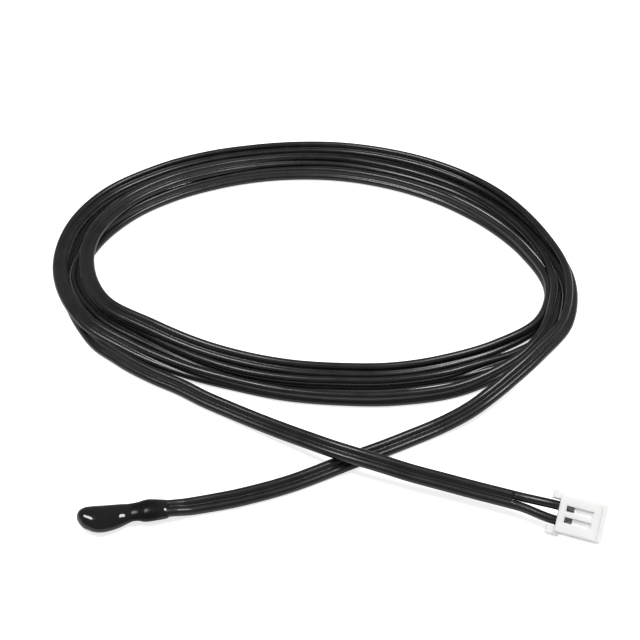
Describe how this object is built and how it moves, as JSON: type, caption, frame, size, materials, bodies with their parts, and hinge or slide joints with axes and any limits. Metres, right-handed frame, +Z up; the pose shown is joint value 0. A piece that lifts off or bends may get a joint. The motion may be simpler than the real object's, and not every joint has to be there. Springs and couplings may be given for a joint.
{
  "type": "bead thermistor",
  "caption": "Epoxy-dipped bead thermistor on a long coiled black twin flat cable that ends in a white crimp housing.",
  "frame": {"origin": "under the middle of the bead, on the surface that the bead rests on", "axes": "+X along the bead from its sensing tip towards the cable, +Y across it towards the coil, +Z up"},
  "size_m": [0.1132, 0.125, 0.0081],
  "materials": {
    "black_epoxy": "glossy dipped epoxy, slightly uneven",
    "black_pvc": "semi-gloss extruded soft PVC",
    "sensor_ceramic": "matt sintered ceramic with silvered faces",
    "tinned_metal": "bright tin on copper alloy",
    "solder": "satin solder",
    "tinned_strands": "tinned copper strands",
    "white_nylon": "satin natural nylon"
  },
  "bodies": {
    "root": {"epoxy_bead": "black_epoxy", "thermistor_chip": "sensor_ceramic", "chip_lead_a": "tinned_metal", "chip_lead_b": "tinned_metal", "solder_joint_a": "solder", "solder_joint_b": "solder", "bead_core_a": "tinned_strands", "bead_core_b": "tinned_strands", "bead_side_cable": "black_pvc", "cable_coil": "black_pvc", "plug_side_cable": "black_pvc", "single_wire_a": "black_pvc", "single_wire_b": "black_pvc", "plug_housing": "white_nylon", "crimp_terminal_a": "tinned_metal", "crimp_terminal_b": "tinned_metal", "plug_core_a": "tinned_strands", "plug_core_b": "tinned_strands"}
  },
  "joints": []
}
